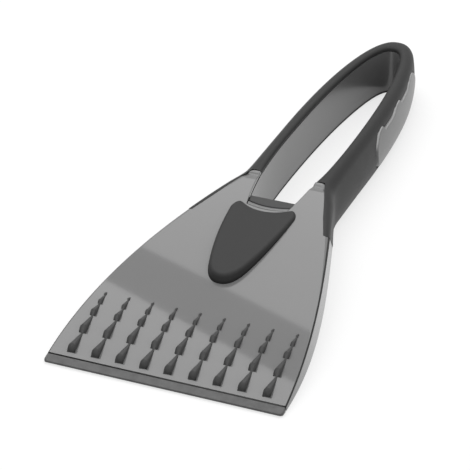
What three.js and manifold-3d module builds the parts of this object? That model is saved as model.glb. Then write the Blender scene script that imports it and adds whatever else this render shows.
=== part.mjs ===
// Ice scraper: an arched hard shell with a blade strip and nine rows of ice-breaking teeth, and a loop handle
// with a soft grip. Millimetres, +Z up. The scraping edge points to -Y, the handle to +Y, and X = 0 is the
// plane of symmetry. Everything is laid out from the scraping edge (y = 0) and centred by the last group.
import * as THREE from 'three';
import { mergeVertices } from 'three/addons/utils/BufferGeometryUtils.js';
import Module from 'manifold-3d';

const wasm = await Module();
wasm.setup();

// Overall sizes
const LENGTH = 274; // scraping edge to the back of the handle
const BLADE_WIDTH = 97.6;
const HANDLE_HEIGHT = 24;
const HANDLE_WIDTH = 41.2; // across the widest part of the grip
const FIT = 0.3; // clearance between pieces that fit into each other

// Shell
const ARCH_RADIUS = 650; // lengthwise crown of the plate
const PRONG_END = 131; // from the scraping edge to the ends of the fork
const PLATE_BACK = 106.6; // back edge of the plate, at the front of the loop
const SIDE_RUN = 42; // how far the sides leave the blade straight back
const FLARE_ANGLE = THREE.MathUtils.degToRad(17.4); // how fast the sides close in before the handle
const FLARE_RUN = 53.3;
const WAIST = 139; // where the sides meet the handle
const EDGE_ROUND = 1.7; // radius of the top edge at the blade
const PRONG_ROUND = 5.4; // the same at the prong ends
const FRONT_FLAT = 0.17; // upright side left under the rounding at the thin front
const WALL = 2.6;
const ROOF = 3; // thickness of the plate and its prongs
const HOLLOW_START = 22; // the front of the shell is solid up to here
const RIB_PITCH = 24;
const RIB_WIDTH = 1.6;
const RIB_LIFT = 1; // the ribs stop this far above the table
const PRONG_DIP = 0.5; // cross groove just before each prong's end
const DIP_LENGTH = 4;
const DIP_SETBACK = 1.5;

// Blade strip
const BLADE_EDGE = 0.85; // thickness of the scraping edge
const BLADE_DEPTH = 3.9; // front edge to seam
const BLADE_CORNER = 1.3;
const LAP_DEPTH = 6; // how far the strip runs under the shell
const LAP_THICKNESS = 0.9;

// Ice-breaker rows
const ROWS = 9;
const TEETH = 5;
const ROW_MARGIN = 8.8; // outermost row to the side of the blade
const ROW_SETBACK = 2; // first teeth behind the seam
const TOOTH_LENGTH = 11; // first tooth; the next ones shrink towards the handle
const TOOTH_SHRINK = 2.1;
const TOOTH_WIDTH = 3.6;
const TOOTH_HEIGHT = 3;
const TOOTH_TOP = 0.7; // share of the width left at the top of a tooth
const TOOTH_FALL = 1.5; // how late along a row the teeth lose their width and height
const TOOTH_WAIST = 1.3; // how early a tooth narrows towards its point
const NECK_WIDTH = 0.7; // where a tooth runs out into the next one
const NECK_HEIGHT = 0.15;
const TOOTH_SEAT = 0.9; // how deep the rows sit in the shell

// Thumb pad
const PAD_FRONT = 55.9;
const PAD_BACK = 102.1; // middle of the hollowed back edge
const PAD_WIDTH = 27.8;
const NOSE_WIDTH = 17.2; // where the round nose passes into the flanks
const NOSE_LENGTH = 11.7;
const FLANK_SPREAD = 0.26; // how fast the flanks widen behind the nose
const HORN_SPREAD = 0.08; // the same in front of the back corners
const PAD_HORN = 4.2; // how far the back corners reach past the middle
const HORN_LENGTH = 5.3;
const HORN_WIDTH = 2.7;
const HOLLOW_RUN = 6.8; // half-width of the straightest stretch of the hollowed back edge
const PAD_FRONT_HEIGHT = 3.8; // above the plate
const PAD_BACK_HEIGHT = 1.4;
const PAD_ROUND = 0.9;
const PAD_TUCK = 0.8; // how far its skirt draws in towards the plate
const PAD_SEAT = 0.7;

// Loop handle
const LOOP_CENTRE = 165; // widest place of the loop
const LOOP_GAP = 27.2;
const LOOP_FRONT = 113; // front end of the finger gap
const LOOP_FRONT_WIDTH = 19.8;
const LOOP_CORNER = 4;
const LOOP_END_WALL = 11.5; // handle thickness at its back end
const INNER_POWER = 2.2; // fullness of the rounded back end, inside and outside
const OUTER_POWER = 2.3;
const TAIL_RUN = 45; // over this length the underside of the handle rises to its back end
const TAIL_LIFT = 1.6;
const CORE_WALL = 2;
const CORE_DROP = 2.5; // the grip's rim covers the core's top by this much
const BRIDGE_LIP = 1.7; // hard lip left in front of the bridge
const BRIDGE_THICKNESS = 1.6;
const BRIDGE_SINK = 0.2; // bridge below the plate

// Grip
const BULGE_HEIGHT = 11; // height of the widest line of the grip
const BASE_TUCK = 2.7; // how far the grip's outer face draws in towards the table
const SHOULDER_TUCK = 3; // and towards its rim
const SHOULDER_DROP = 4;
const CROWN_SHARE = 0.45; // place of the rim's highest line across the grip
const INNER_DROP = 1.4; // rim's inner edge below its highest line
const SWELL_RUN = 22; // length over which the cheeks swell into the arms
const SWELL_LEAD = 3;
const CHEEK_TOP = 95; // front of the cheeks at the top edge
const CHEEK_KNEE = 17.6; // height from which the cheeks' front edge slants back
const CHEEK_FOOT = 122; // front of the cheeks at the table
const CHEEK_SETBACK = 1.1; // the cheeks start this far down the rounded top edge
const CHEEK_BLEND = 1; // softness of the corner between the cheeks and the arms

// Finger panels
const PANEL_SETBACK = 5; // from the panels' back ends to the back of the handle
const PANEL_PITCH = 25.2; // one gloved finger
const SCOOPS = 2; // whole finger scoops between points
const FIRST_POINT = 9; // first point of the upper edge behind the panel's front
const PANEL_TAIL = 24; // from the last point to the back end
const PANEL_LOW = 2.6;
const PANEL_HIGH = 18.5;
const SCALLOP = 2.3;
const PANEL_CORNER = 5;
const PANEL_DEPTH = 1;
const PANEL_PROUD = 0.5;
const RECESS_REACH = 6; // how far the panels' recesses are cut out past the grip's face

const CUT = 60; // longer than anything that a cut passes through
const OVERRUN = 2; // how far a cut or a blank runs on past its end
const QUARTER_HANDLE = 0.5523; // handle length of the cubic curve that stands for a quarter circle

const clamp01 = (t) => Math.min(1, Math.max(0, t));
const smooth = (t) => clamp01(t) ** 2 * (3 - 2 * clamp01(t));
const mix = THREE.MathUtils.lerp;
const steps = (from, to, count) => Array.from({ length: count + 1 }, (_, i) => mix(from, to, i / count));

// Solids and their joins and cuts

function toSolid(geometry) {
  const bare = new THREE.BufferGeometry();
  bare.setAttribute('position', geometry.getAttribute('position'));
  bare.setIndex(geometry.index);
  const merged = mergeVertices(bare, 1e-4);
  const vertProperties = new Float32Array(merged.attributes.position.array);
  const triVerts = new Uint32Array(merged.index.array);
  const solid = new wasm.Manifold(new wasm.Mesh({ numProp: 3, vertProperties, triVerts }));
  if (solid.volume() > 0) return solid;
  for (let i = 0; i < triVerts.length; i += 3) {
    [triVerts[i], triVerts[i + 1]] = [triVerts[i + 1], triVerts[i]];
  }
  return new wasm.Manifold(new wasm.Mesh({ numProp: 3, vertProperties, triVerts }));
}

function toGeometry(solid) {
  const { vertProperties, triVerts } = solid.getMesh();
  const geometry = new THREE.BufferGeometry();
  geometry.setAttribute('position', new THREE.BufferAttribute(new Float32Array(vertProperties), 3));
  geometry.setIndex(new THREE.BufferAttribute(new Uint32Array(triVerts), 1));
  geometry.computeVertexNormals();
  return geometry;
}

// Skin between rings of as many points each, listed ring after ring.
function ringFaces(rings, count) {
  const index = [];
  for (let i = 0; i + 1 < rings; i++) {
    for (let j = 0; j < count; j++) {
      const a = i * count + j;
      const b = i * count + ((j + 1) % count);
      index.push(a, b, b + count, a, b + count, a + count);
    }
  }
  return index;
}

function fromFaces(positions, index) {
  const geometry = new THREE.BufferGeometry();
  geometry.setAttribute('position', new THREE.Float32BufferAttribute(positions, 3));
  geometry.setIndex(index);
  return toSolid(geometry);
}

// Skin over a row of like sections, each a list of flat points that place() puts into space. The ends are
// closed by rungs between opposite points.
function loft(sections, place) {
  const count = sections[0].length;
  const positions = sections.flatMap((section, i) => section.flatMap(([u, v]) => place(i, u, v)));
  const index = ringFaces(sections.length, count);
  const last = (sections.length - 1) * count;
  for (let j = 0; j + 1 < count - 1 - j; j++) {
    const [p, q, r, s] = [j, j + 1, count - 2 - j, count - 1 - j];
    index.push(q, p, s, last + p, last + q, last + s);
    if (q < r) index.push(r, q, s, last + q, last + r, last + s);
  }
  return fromFaces(positions, index);
}

// Skin over stations along the scraper, each section given as [x, z] points at its y.
const loftAlong = (stations, section) => loft(stations.map(section), (i, x, z) => [x, stations[i], z]);

// Upright prism over a plan outline of [x, y] points.
function upright(outline, bottom, top) {
  const shape = new THREE.Shape(outline.map(([x, y]) => new THREE.Vector2(x, y)));
  const options = { depth: top - bottom, bevelEnabled: false };
  return toSolid(new THREE.ExtrudeGeometry(shape, options).translate(0, 0, bottom));
}

// Prism across the scraper over a side-view outline of [y, z] points.
function across(outline, width = 4 * BLADE_WIDTH) {
  const shape = new THREE.Shape(outline.map(([y, z]) => new THREE.Vector2(y, z)));
  const geometry = new THREE.ExtrudeGeometry(shape, { depth: width, bevelEnabled: false });
  const turn = new THREE.Matrix4().set(0, 0, 1, -width / 2, 1, 0, 0, 0, 0, 1, 0, 0, 0, 0, 0, 1);
  return toSolid(geometry.applyMatrix4(turn));
}

function box(x0, x1, y0, y1, z0, z1) {
  const geometry = new THREE.BoxGeometry(x1 - x0, y1 - y0, z1 - z0);
  return toSolid(geometry.translate((x0 + x1) / 2, (y0 + y1) / 2, (z0 + z1) / 2));
}

const cutAll = (solid, cuts) => cuts.reduce((left, cut) => left.subtract(cut), solid);
const mirrored = (points) => points.map(([x, y]) => [-x, y]).reverse();

// Main curves

// The plate's top is a circle of ARCH_RADIUS through the scraping edge and the prong ends.
const rise = HANDLE_HEIGHT - BLADE_EDGE;
const archTilt = Math.atan2(rise, PRONG_END) + Math.asin(Math.hypot(rise, PRONG_END) / (2 * ARCH_RADIUS));

function arch(y) {
  const sine = Math.sin(archTilt) - y / ARCH_RADIUS;
  return BLADE_EDGE + ARCH_RADIUS * (Math.sqrt(1 - sine * sine) - Math.cos(archTilt));
}

// Half-width of the shell's side walls: one cubic curve from the blade's corner to the waist.
const waistHalf = HANDLE_WIDTH / 2 - BASE_TUCK;
const sideCurve = new THREE.CubicBezierCurve(
  new THREE.Vector2(BLADE_WIDTH / 2, 0),
  new THREE.Vector2(BLADE_WIDTH / 2, SIDE_RUN),
  new THREE.Vector2(waistHalf + FLARE_RUN * Math.tan(FLARE_ANGLE), WAIST - FLARE_RUN),
  new THREE.Vector2(waistHalf, WAIST),
);

function side(y) {
  if (y >= WAIST) return waistHalf - (y - WAIST) * Math.tan(FLARE_ANGLE);
  let low = 0;
  let high = 1;
  for (let i = 0; i < 40; i++) {
    const middle = (low + high) / 2;
    if (sideCurve.getPoint(middle).y < y) low = middle;
    else high = middle;
  }
  return sideCurve.getPoint(low).x;
}

// Radius of the shell's top edge, which grows towards the handle and fits the thin front.
function edgeRound(y) {
  const radius = mix(EDGE_ROUND, PRONG_ROUND, clamp01(y / PRONG_END));
  return Math.min(radius, arch(y) - FRONT_FLAT);
}

// Width of the cheeks' lip on the rounded top edge.
const cheekLip = (y) => edgeRound(y) - CHEEK_SETBACK;

// The finger gap and the handle's outline: an ellipse towards the blade, fuller round ends at the back.
const halfGap = LOOP_GAP / 2;
const frontReach = (LOOP_CENTRE - LOOP_FRONT) / Math.sqrt(1 - (LOOP_FRONT_WIDTH / LOOP_GAP) ** 2);

function gapHalf(y, offset = 0) {
  const reach = (LOOP_CENTRE - y) / (frontReach + offset);
  return (halfGap + offset) * Math.sqrt(1 - reach * reach);
}

function roundEnd(angle, halfWidth, endY, power) {
  const c = Math.cos(angle);
  const s = Math.sin(angle);
  const x = Math.sign(c) * halfWidth * Math.abs(c) ** (2 / power);
  return [x, LOOP_CENTRE + (endY - LOOP_CENTRE) * s ** (2 / power)];
}

const innerEnd = (angle, offset = 0) =>
  roundEnd(angle, halfGap + offset, LENGTH - LOOP_END_WALL + offset, INNER_POWER);
const outerEnd = (angle) => roundEnd(angle, HANDLE_WIDTH / 2, LENGTH, OUTER_POWER);

// Closed plan outline of the gap, grown by offset, from a straight front with rounded corners.
function loopOutline(offset, front, corner) {
  const sideYs = steps(front + corner, LOOP_CENTRE, 8).slice(0, -1);
  const right = sideYs.map((y) => [gapHalf(y, offset), y]);
  const back = steps(0, Math.PI, 32).map((angle) => innerEnd(angle, offset));
  if (corner === 0) return [...right, ...back, ...mirrored(right)];
  const start = new THREE.Vector2(gapHalf(front, offset) - corner, front);
  const turn = new THREE.Vector2(gapHalf(front, offset), front);
  const bend = new THREE.QuadraticBezierCurve(start, turn, new THREE.Vector2(...right[0]));
  const fillet = bend.getPoints(4).slice(0, -1).map((p) => [p.x, p.y]);
  return [...fillet, ...right, ...back, ...mirrored(right), ...mirrored(fillet)];
}

const fingerGap = upright(loopOutline(0, LOOP_FRONT, LOOP_CORNER), -CUT, CUT);

// What the rising underside of the handle takes away at the back.
const tailRise = (y) => TAIL_LIFT * clamp01((y - LENGTH + TAIL_RUN) / TAIL_RUN) ** 2;
const tailYs = steps(LENGTH - TAIL_RUN, LENGTH + OVERRUN, 9);
const underTail = across([
  ...tailYs.map((y) => [y, tailRise(y)]),
  [LENGTH + OVERRUN, -CUT],
  [LENGTH - TAIL_RUN, -CUT],
]);

// Ice-breaker rows

const seam = BLADE_DEPTH + FIT;
const rowPitch = (BLADE_WIDTH - 2 * ROW_MARGIN) / (ROWS - 1);

// One row of teeth, or with a clearance the pocket that it sits in.
function toothRow(x, clearance, pocket) {
  const sections = [];
  const stations = [];
  let front = seam + ROW_SETBACK;
  for (let tooth = 0; tooth < TEETH; tooth++) {
    const share = 1 - (tooth / TEETH) ** TOOTH_FALL;
    const length = TOOTH_LENGTH - tooth * TOOTH_SHRINK;
    const endGap = tooth === TEETH - 1 ? clearance : -clearance;
    for (const t of steps(0, 1, 3)) {
      const half = mix(TOOTH_WIDTH * share, NECK_WIDTH, t ** TOOTH_WAIST) / 2 + clearance;
      const height = pocket ? CUT : mix(TOOTH_HEIGHT * share, NECK_HEIGHT, t);
      const y = mix(front - clearance, front + length + endGap, t);
      const base = arch(y);
      const floor = base - TOOTH_SEAT - clearance;
      const top = half * TOOTH_TOP;
      const [low, high] = [base, base + height];
      stations.push(y);
      sections.push(
        pocket
          ? [[half, floor], [half, high], [-half, high], [-half, floor]]
          : [[half, floor], [half, low], [top, high], [-top, high], [-half, low], [-half, floor]],
      );
    }
    front += length;
  }
  return loft(sections, (i, u, z) => [x + u, stations[i], z]);
}

const rowPlaces = steps(-1, 1, ROWS - 1).map((share) => (share * rowPitch * (ROWS - 1)) / 2);
const rows = rowPlaces.map((x) => toothRow(x, 0, false));

// Thumb pad

// Plan outline: a round nose, flanks that spread, rounded back corners and a hollowed back edge.
function padOutline(grow) {
  const half = PAD_WIDTH / 2;
  const noseHalf = NOSE_WIDTH / 2;
  const noseY = PAD_FRONT + NOSE_LENGTH;
  const noseHandle = NOSE_LENGTH * QUARTER_HANDLE;
  const tipX = half - HORN_WIDTH;
  const tipY = PAD_BACK + PAD_HORN;
  const flankY = tipY - HORN_LENGTH;
  const third = (flankY - noseY) / 3;
  const right = new THREE.Path();
  right.moveTo(0, PAD_FRONT);
  right.bezierCurveTo(
    noseHalf * QUARTER_HANDLE, PAD_FRONT,
    noseHalf - FLANK_SPREAD * noseHandle, noseY - noseHandle,
    noseHalf, noseY,
  );
  right.bezierCurveTo(
    noseHalf + FLANK_SPREAD * third, noseY + third,
    half - HORN_SPREAD * third, flankY - third,
    half, flankY,
  );
  right.bezierCurveTo(
    half, flankY + HORN_LENGTH * QUARTER_HANDLE,
    tipX + HORN_WIDTH * QUARTER_HANDLE, tipY,
    tipX, tipY,
  );
  right.bezierCurveTo(tipX - HORN_WIDTH * QUARTER_HANDLE, tipY, HOLLOW_RUN, PAD_BACK, 0, PAD_BACK);
  const rightHalf = right.getPoints(7).map((p) => [p.x, p.y]);
  const outline = [...rightHalf, ...mirrored(rightHalf.slice(1, -1))];
  return outline.map(([x, y], i) => {
    const [ax, ay] = outline.at(i - 1);
    const [bx, by] = outline[(i + 1) % outline.length];
    const run = Math.hypot(bx - ax, by - ay);
    return [x + (grow * (by - ay)) / run, y - (grow * (bx - ax)) / run];
  });
}

const padHeight = (y) => mix(PAD_FRONT_HEIGHT, PAD_BACK_HEIGHT, (y - PAD_FRONT) / (PAD_BACK - PAD_FRONT));

// Stack of pad outlines, each grown by an amount and lifted over the plate by lift(y), closed by flat ends.
function padStack(levels) {
  const rings = levels.map(([grow, lift]) => padOutline(grow).map(([x, y]) => [x, y, arch(y) + lift(y)]));
  const count = rings[0].length;
  const index = ringFaces(rings.length, count);
  [0, rings.length - 1].forEach((i) => {
    const flat = rings[i].map(([x, y]) => new THREE.Vector2(x, y));
    for (const [a, b, c] of THREE.ShapeUtils.triangulateShape(flat, [])) {
      if (i === 0) index.push(c, b, a);
      else index.push(i * count + a, i * count + b, i * count + c);
    }
  });
  return fromFaces(rings.flat(2), index);
}

const padRim = steps(0, Math.PI / 2, 3).map((angle) => [
  -PAD_ROUND * (1 - Math.cos(angle)),
  (y) => padHeight(y) - PAD_ROUND * (1 - Math.sin(angle)),
]);
const thumbPad = padStack([[-PAD_TUCK, () => -PAD_SEAT], [-PAD_TUCK, () => 0], ...padRim]);
const padPocket = padStack([[FIT - PAD_TUCK, () => -PAD_SEAT - FIT], [FIT - PAD_TUCK, () => CUT]]);

// Shell

const dipMiddle = PRONG_END - DIP_SETBACK - DIP_LENGTH / 2;
const prongYs = steps(dipMiddle - DIP_LENGTH / 2, dipMiddle + DIP_LENGTH / 2, 4);
const shellYs = [...steps(seam, prongYs[0], 22), ...prongYs.slice(1), PRONG_END];

const prongDip = (y) => {
  const t = clamp01(Math.abs(y - dipMiddle) / (DIP_LENGTH / 2));
  return PRONG_DIP * Math.cos((t * Math.PI) / 2) ** 2;
};

// Section of the shell: upright sides, rounded top edges and a flat top.
function shellSection(y) {
  const radius = edgeRound(y);
  const middle = side(y) - radius;
  const height = arch(y) - prongDip(y) - radius;
  const arc = steps(0, Math.PI / 2, 5).map((angle) => [
    middle + radius * Math.cos(angle),
    height + radius * Math.sin(angle),
  ]);
  const right = [[side(y), 0], ...arc];
  return [...right, ...mirrored(right)];
}

// Block of the scraper's width less an inset, from below the table to a height over the plate.
function plainBlock(from, to, inset, top) {
  return loftAlong(steps(from, to, 12), (y) => {
    const half = side(y) - inset(y);
    return [[half, -CUT], [half, top(y)], [-half, top(y)], [-half, -CUT]];
  });
}

// Ribs that cross under the plate.
function ribs(from, to) {
  const lengthwise = Math.ceil(BLADE_WIDTH / 2 / RIB_PITCH);
  const crosswise = Math.ceil((to - from) / RIB_PITCH);
  const half = RIB_WIDTH / 2;
  const bars = steps(-lengthwise, lengthwise, 2 * lengthwise).map((i) =>
    box(i * RIB_PITCH - half, i * RIB_PITCH + half, from - OVERRUN, to + OVERRUN, RIB_LIFT, CUT));
  for (const y of steps(from, to, crosswise).slice(1, -1)) {
    bars.push(box(-BLADE_WIDTH, BLADE_WIDTH, y - half, y + half, RIB_LIFT, CUT));
  }
  return bars.reduce((sum, bar) => sum.add(bar));
}

// Side view of all that lies behind the front edge of the cheeks.
const behindCheek = (gap) =>
  across([
    [CHEEK_TOP - gap, CUT],
    [CHEEK_TOP - gap, CHEEK_KNEE],
    [CHEEK_FOOT - gap, 0],
    [CHEEK_FOOT - gap, -CUT],
    [LENGTH + CUT, -CUT],
    [LENGTH + CUT, CUT],
  ]);

const lapHalf = BLADE_WIDTH / 2 - WALL - EDGE_ROUND;

function makeShell() {
  const outer = loftAlong(shellYs, shellSection);
  const hollowEnd = PLATE_BACK - WALL;
  const underPlate = (y) => arch(y) - ROOF;
  const clearOfCheek = (y) => cheekLip(y) + FIT;
  const insideWall = (y) => clearOfCheek(y) + WALL;
  const hollow = plainBlock(HOLLOW_START, hollowEnd, insideWall, underPlate);
  const behindPlate = plainBlock(PLATE_BACK, CHEEK_FOOT, insideWall, underPlate);
  const underProngs = plainBlock(CHEEK_FOOT, PRONG_END + OVERRUN, () => -OVERRUN, underPlate);
  const betweenCheeks = plainBlock(CHEEK_TOP - OVERRUN, PRONG_END + OVERRUN, clearOfCheek, () => CUT);
  const cheekRoom = behindCheek(FIT).subtract(betweenCheeks);
  const opening = upright(loopOutline(0, PLATE_BACK, 0), -CUT, CUT);
  const lapEnd = BLADE_DEPTH + LAP_DEPTH + FIT;
  const lapRoom = box(-lapHalf - FIT, lapHalf + FIT, 0, lapEnd, -CUT, LAP_THICKNESS + FIT);
  const toothPockets = rowPlaces.map((x) => toothRow(x, FIT, true));
  const ribbed = outer.subtract(hollow.subtract(ribs(HOLLOW_START, hollowEnd)));
  return cutAll(ribbed, [behindPlate, underProngs, cheekRoom, opening, lapRoom, padPocket, ...toothPockets]);
}

// Blade strip

function makeBlade() {
  const cornerYs = steps(0, 1, 4).map((t) => BLADE_CORNER * t * t);
  const bladeYs = [...cornerYs, BLADE_DEPTH];
  const bladeSections = bladeYs.map((y) => {
    const inset = BLADE_CORNER - Math.sqrt(BLADE_CORNER ** 2 - Math.max(0, BLADE_CORNER - y) ** 2);
    return shellSection(y).map(([x, z]) => [x - Math.sign(x) * inset, z]);
  });
  const lapRight = steps(0, LAP_THICKNESS, bladeSections[0].length / 2 - 1).map((z) => [lapHalf, z]);
  const lapSection = [...lapRight, ...mirrored(lapRight)];
  const stations = [...bladeYs, BLADE_DEPTH, BLADE_DEPTH + LAP_DEPTH];
  return loft([...bladeSections, lapSection, lapSection], (i, x, z) => [x, stations[i], z]);
}

// Hard core of the loop, and the bridge at its front

const coreTop = HANDLE_HEIGHT - CORE_DROP;
const coreFront = PLATE_BACK + FIT;
const bridgeFront = coreFront + BRIDGE_LIP;
const bridgeBack = LOOP_FRONT + LOOP_CORNER;
const bridgeTop = arch(PLATE_BACK) - BRIDGE_SINK;

function makeCore() {
  const prongUnderside = steps(PRONG_END + FIT, coreFront, 6).map((y) => [y, arch(y) - ROOF - FIT]);
  const ringTop = [[LENGTH, coreTop], [PRONG_END + FIT, coreTop], ...prongUnderside];
  const ringSide = [[coreFront, 0], [LENGTH, 0], ...ringTop];
  const ring = upright(loopOutline(CORE_WALL, coreFront, 0), 0, CUT).intersect(across(ringSide));
  const lipTop = arch(coreFront) - FIT;
  const block = upright(loopOutline(-FIT, coreFront, 0), 0, lipTop)
    .intersect(box(-CUT, CUT, 0, bridgeBack, 0, CUT));
  const seat = bridgeTop - BRIDGE_THICKNESS - FIT;
  const bridgeRoom = upright(loopOutline(0, bridgeFront, 0), seat, CUT)
    .intersect(box(-CUT, CUT, 0, bridgeBack, 0, 2 * CUT));
  return cutAll(ring.add(block), [bridgeRoom, fingerGap, underTail]);
}

function makeBridge() {
  const strip = upright(loopOutline(-FIT, bridgeFront + FIT, 0), bridgeTop - BRIDGE_THICKNESS, bridgeTop);
  return strip.intersect(box(-CUT, CUT, 0, bridgeBack, 0, CUT)).subtract(fingerGap);
}

// Grip

// Half-width of the cheeks and arms in front of the loop's widest place: the larger of the shell's sides
// and the handle's width, with the corner between them rounded.
function cheekHalf(y) {
  const half = HANDLE_WIDTH / 2;
  const apart = side(y) - half;
  return half + (apart + Math.hypot(apart, CHEEK_BLEND)) / 2;
}

// How much of the full arm form the grip has at y, from flat cheek to swollen arm.
const swell = (y) => smooth((y - (WAIST + SWELL_LEAD - SWELL_RUN)) / SWELL_RUN);

// How far the grip's outer face draws in from its widest line at a height.
function tuck(z, shoulder) {
  if (z < BULGE_HEIGHT) return BASE_TUCK * (1 - z / BULGE_HEIGHT) ** 2;
  return SHOULDER_TUCK * ((z - BULGE_HEIGHT) / (shoulder - BULGE_HEIGHT)) ** 2;
}

// Section of the grip over its width, u from the loop's inner wall outwards: outer face, rim, inner wall.
function gripSection(width, y) {
  const swollen = swell(y);
  const radius = edgeRound(y);
  const plate = Math.min(arch(y), HANDLE_HEIGHT);
  const shoulder = mix(plate - radius, HANDLE_HEIGHT - SHOULDER_DROP, swollen);
  const crownU = mix(width - radius, width * CROWN_SHARE, swollen);
  const crownZ = mix(plate, HANDLE_HEIGHT, swollen);
  const face = steps(0, shoulder, 6).map((z) => [width - swollen * tuck(z, shoulder), z]);
  const [faceTop] = face.at(-1);
  const rim = steps(0, Math.PI / 2, 4).slice(1).map((angle) => [
    mix(faceTop, crownU, 1 - Math.cos(angle)),
    mix(shoulder, crownZ, Math.sin(angle)),
  ]);
  const inner = steps(1, 0, 2).slice(1).map((share) => [
    crownU * share,
    crownZ - INNER_DROP * swollen * (1 - share) ** 2,
  ]);
  return [...face, ...rim, ...inner, [0, 0]];
}

const frontPlace = (y) => ({ inner: [gapHalf(Math.max(y, LOOP_FRONT)), y], outer: [cheekHalf(y), y] });
const backPlace = (angle) => ({ inner: innerEnd(angle), outer: outerEnd(angle) });

// Place on the right-hand arm whose outer outline is at y.
function placeAt(y) {
  if (y < LOOP_CENTRE) return frontPlace(y);
  return backPlace(Math.asin(((y - LOOP_CENTRE) / (LENGTH - LOOP_CENTRE)) ** (OUTER_POWER / 2)));
}

// Places round the loop, from the right cheek past the back end to the left cheek.
function loopPlaces(frontSteps, backSteps) {
  const cheekYs = steps(CHEEK_TOP - OVERRUN, LOOP_CENTRE, frontSteps).slice(0, -1);
  const right = cheekYs.map(frontPlace);
  const back = steps(0, Math.PI, backSteps).map(backPlace);
  const flip = ([x, y]) => [-x, y];
  const left = right.map(({ inner, outer }) => ({ inner: flip(inner), outer: flip(outer) }));
  return [...right, ...back, ...left.reverse()];
}

const widthAt = ({ inner, outer }) => Math.hypot(outer[0] - inner[0], outer[1] - inner[1]);

// A point of a section at a place: u along the line from the inner to the outer outline.
function atPlace(place, u, z) {
  const share = u / widthAt(place);
  return [mix(place.inner[0], place.outer[0], share), mix(place.inner[1], place.outer[1], share), z];
}

function makeGrip() {
  const places = loopPlaces(14, 32);
  const sections = places.map((place) => gripSection(widthAt(place), place.outer[1]));
  const full = loft(sections, (i, u, z) => atPlace(places[i], u, z));
  const betweenCheeks = plainBlock(CHEEK_TOP - OVERRUN, PRONG_END + FIT, cheekLip, () => CUT);
  const coreRing = upright(loopOutline(CORE_WALL + FIT, PLATE_BACK, 0), -CUT, coreTop + FIT);
  const inside = upright(loopOutline(0, PLATE_BACK, 0), -CUT, coreTop + FIT);
  const recesses = [fingerPanel(1, FIT), fingerPanel(-1, FIT)];
  return cutAll(full.intersect(behindCheek(0)), [betweenCheeks, coreRing, inside, underTail, ...recesses]);
}

// Finger panels

const panelBack = LENGTH - PANEL_SETBACK;
const lastPoint = panelBack - PANEL_TAIL;
const panelFront = lastPoint - SCOOPS * PANEL_PITCH - FIRST_POINT;

// Upper edge of a panel: shallow scoops, one for each finger, that meet in points, and a tail that runs down.
function panelTop(y) {
  const wave = Math.abs(Math.sin((Math.PI * (y - lastPoint)) / PANEL_PITCH));
  const scooped = PANEL_HIGH + SCALLOP * (1 - wave);
  if (y < lastPoint) return scooped;
  return mix(PANEL_HIGH + SCALLOP, PANEL_LOW + PANEL_CORNER, smooth((y - lastPoint) / PANEL_TAIL));
}

// A panel on the right (+1) or left (-1) arm, or with a clearance the recess that it lies in.
function fingerPanel(hand, clearance) {
  const shoulder = HANDLE_HEIGHT - SHOULDER_DROP;
  const frontY = panelFront - clearance;
  const backY = panelBack + clearance;
  const places = steps(frontY, backY, 26).map(placeAt);
  const faceSteps = 6;
  const sections = places.map((place) => {
    const y = place.outer[1];
    const fromEnd = clamp01(Math.min(y - frontY, backY - y) / PANEL_CORNER);
    const ends = Math.sqrt(1 - (1 - fromEnd) ** 2);
    const middle = Math.min((PANEL_LOW + PANEL_HIGH) / 2, (PANEL_LOW + panelTop(y)) / 2);
    const low = mix(middle - PANEL_DEPTH, PANEL_LOW, ends) - clearance;
    const high = mix(middle + PANEL_DEPTH, panelTop(y), ends) + clearance;
    const face = (z, lift) => [widthAt(place) - tuck(z, shoulder) + lift, z];
    const levels = steps(low, high, faceSteps);
    const outside = levels.map((z, j) => {
      if (clearance > 0) return face(z, RECESS_REACH);
      return face(z, j % faceSteps === 0 ? 0 : PANEL_PROUD);
    });
    const inside = levels.map((z) => face(z, -PANEL_DEPTH - clearance)).reverse();
    return [...outside, ...inside];
  });
  return loft(sections, (i, u, z) => {
    const [x, y] = atPlace(places[i], u, z);
    return [hand * x, y, z];
  });
}

// Materials and assembly

const finish = (color, roughness) => new THREE.MeshStandardMaterial({ color, roughness, metalness: 0 });
const GLOSS_GREY = [0x8f8f90, 0.25];
const BLADE_GREY = [0x6c6c6d, 0.4];
const TOOTH_DARK = [0x3d3d3e, 0.5];
const SOFT_DARK = [0x3c3c3d, 0.6];
const BRIDGE_DARK = [0x4a4a4b, 0.55];
const PANEL_GREY = [0x8a8a8b, 0.4];

const scraper = new THREE.Group();
scraper.name = 'ice_scraper';
const laidOut = new THREE.Group();
laidOut.position.y = -LENGTH / 2;
scraper.add(laidOut);

function addPiece(name, solid, [color, roughness]) {
  const mesh = new THREE.Mesh(toGeometry(solid), finish(color, roughness));
  mesh.name = name;
  laidOut.add(mesh);
}

addPiece('scraper_shell', makeShell(), GLOSS_GREY);
addPiece('blade_strip', makeBlade(), BLADE_GREY);
rows.forEach((row, i) => addPiece(`ice_breaker_row_${i + 1}`, row, TOOTH_DARK));
addPiece('thumb_pad', thumbPad, SOFT_DARK);
addPiece('handle_core', makeCore(), GLOSS_GREY);
addPiece('loop_bridge', makeBridge(), BRIDGE_DARK);
addPiece('handle_grip', makeGrip(), SOFT_DARK);
addPiece('finger_grip_right', fingerPanel(1, 0), PANEL_GREY);
addPiece('finger_grip_left', fingerPanel(-1, 0), PANEL_GREY);

export default scraper;
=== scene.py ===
import math

import bmesh
import bpy
import numpy as np
from mathutils import Matrix, Vector


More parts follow.
